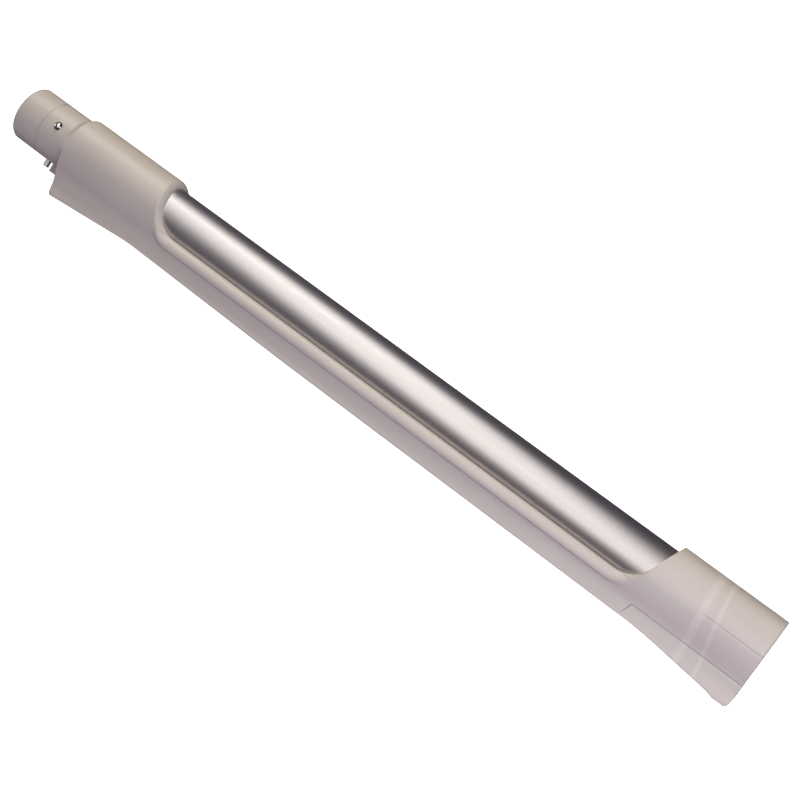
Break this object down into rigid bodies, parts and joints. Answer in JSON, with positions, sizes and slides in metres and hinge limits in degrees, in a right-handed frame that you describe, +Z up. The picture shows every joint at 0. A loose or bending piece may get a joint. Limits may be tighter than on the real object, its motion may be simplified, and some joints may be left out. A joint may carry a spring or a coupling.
{
  "type": "vacuum cleaner tube",
  "caption": "Rigid vacuum cleaner tube: bare aluminium pipe in a pale grey casing with a wire duct under it, ending in a spigot with detent buttons and in a socket.",
  "frame": {"origin": "centre of the bounding box's bottom, on the floor the tube lies on", "axes": "+X along the tube from the spigot to the socket, +Z up, +Y to the crown side away from the duct"},
  "size_m": [0.537, 0.0552, 0.04],
  "materials": {
    "grey_plastic": "satin",
    "aluminium_tube": "satin anodised",
    "steel": "plain",
    "polished_steel": "polished",
    "seal_rubber": "matt",
    "black_plastic": "matt",
    "contact_brass": "plain",
    "wire_sheath": "soft"
  },
  "bodies": {
    "body": {"casing": "grey_plastic", "connector_cover": "grey_plastic", "duct_cover": "grey_plastic", "suction_tube": "aluminium_tube", "cover_screws": "steel", "spring_band": "steel", "index_pin": "steel", "socket_seal": "seal_rubber", "inlet_block": "black_plastic", "outlet_block": "black_plastic", "inlet_pin_right": "contact_brass", "inlet_pin_left": "contact_brass", "outlet_sleeve_right": "contact_brass", "outlet_sleeve_left": "contact_brass", "wire_right": "wire_sheath", "wire_left": "wire_sheath"},
    "button_right": {"detent_button_right": "polished_steel"},
    "button_left": {"detent_button_left": "polished_steel"}
  },
  "joints": [
    {"name": "button_right_press", "type": "slide", "parent": "body", "child": "button_right", "axis": [0, -0.1807, -0.9835], "range_m": [0, 0.0017], "stiffness_N_per_m": 4000, "deforming": ["spring_band"]},
    {"name": "button_left_press", "type": "slide", "parent": "body", "child": "button_left", "axis": [0, -0.4161, 0.9093], "range_m": [0, 0.0017], "stiffness_N_per_m": 4000, "deforming": ["spring_band"]}
  ]
}
